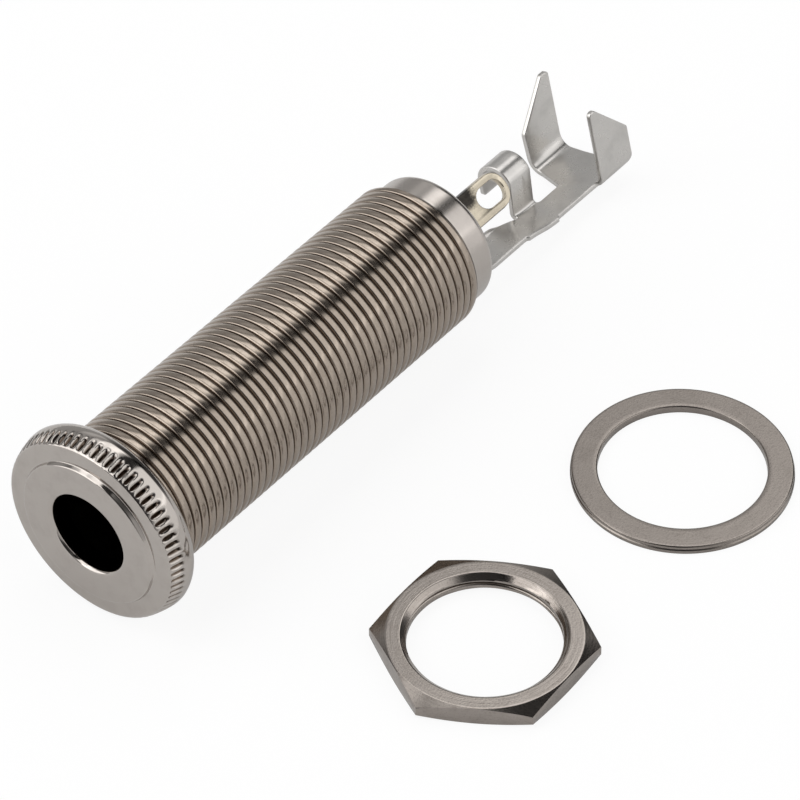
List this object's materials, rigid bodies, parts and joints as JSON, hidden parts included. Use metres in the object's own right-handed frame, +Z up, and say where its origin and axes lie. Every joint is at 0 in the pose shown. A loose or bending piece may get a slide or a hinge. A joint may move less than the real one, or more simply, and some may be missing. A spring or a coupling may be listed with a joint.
{
  "type": "quarter inch phone jack",
  "caption": "Long threaded barrel jack for a quarter inch plug, with a knurled flange, a solder lug, a cable clamp and a hook, beside its panel nut and washer.",
  "frame": {"origin": "on the surface that everything rests on, under the middle of the whole box", "axes": "+X along the barrel from its front to its clamp, seen from above; +Z up"},
  "size_m": [0.0608, 0.0412, 0.0155],
  "materials": {
    "nickel_barrel": "polished nickel plate on brass",
    "insulator": "matt laminate",
    "tinned_lug": "thin bright tin plate on brass",
    "spring_leaf": "satin spring alloy",
    "tinned_strip": "satin tin plate on brass",
    "nickel_nut": "nickel plate on brass",
    "washer_steel": "dull nickel plate on steel"
  },
  "bodies": {
    "jack": {"threaded_barrel": "nickel_barrel", "insulating_sleeve": "insulator", "front_wafer": "insulator", "rear_wafer": "insulator", "tip_solder_lug": "tinned_lug", "ground_lug": "tinned_strip", "hex_nut": "nickel_nut", "flat_washer": "washer_steel"},
    "tip_contact": {"tip_contact_spring": "spring_leaf"}
  },
  "joints": [
    {"name": "tip_contact_flex", "type": "hinge", "parent": "jack", "child": "tip_contact", "pos_m": [0.00794, 0.01164, 0.00822], "axis": [0.0163, 0.766, 0.6426], "range_deg": [0, 3.8], "stiffness_Nm_per_rad": 0.35}
  ]
}
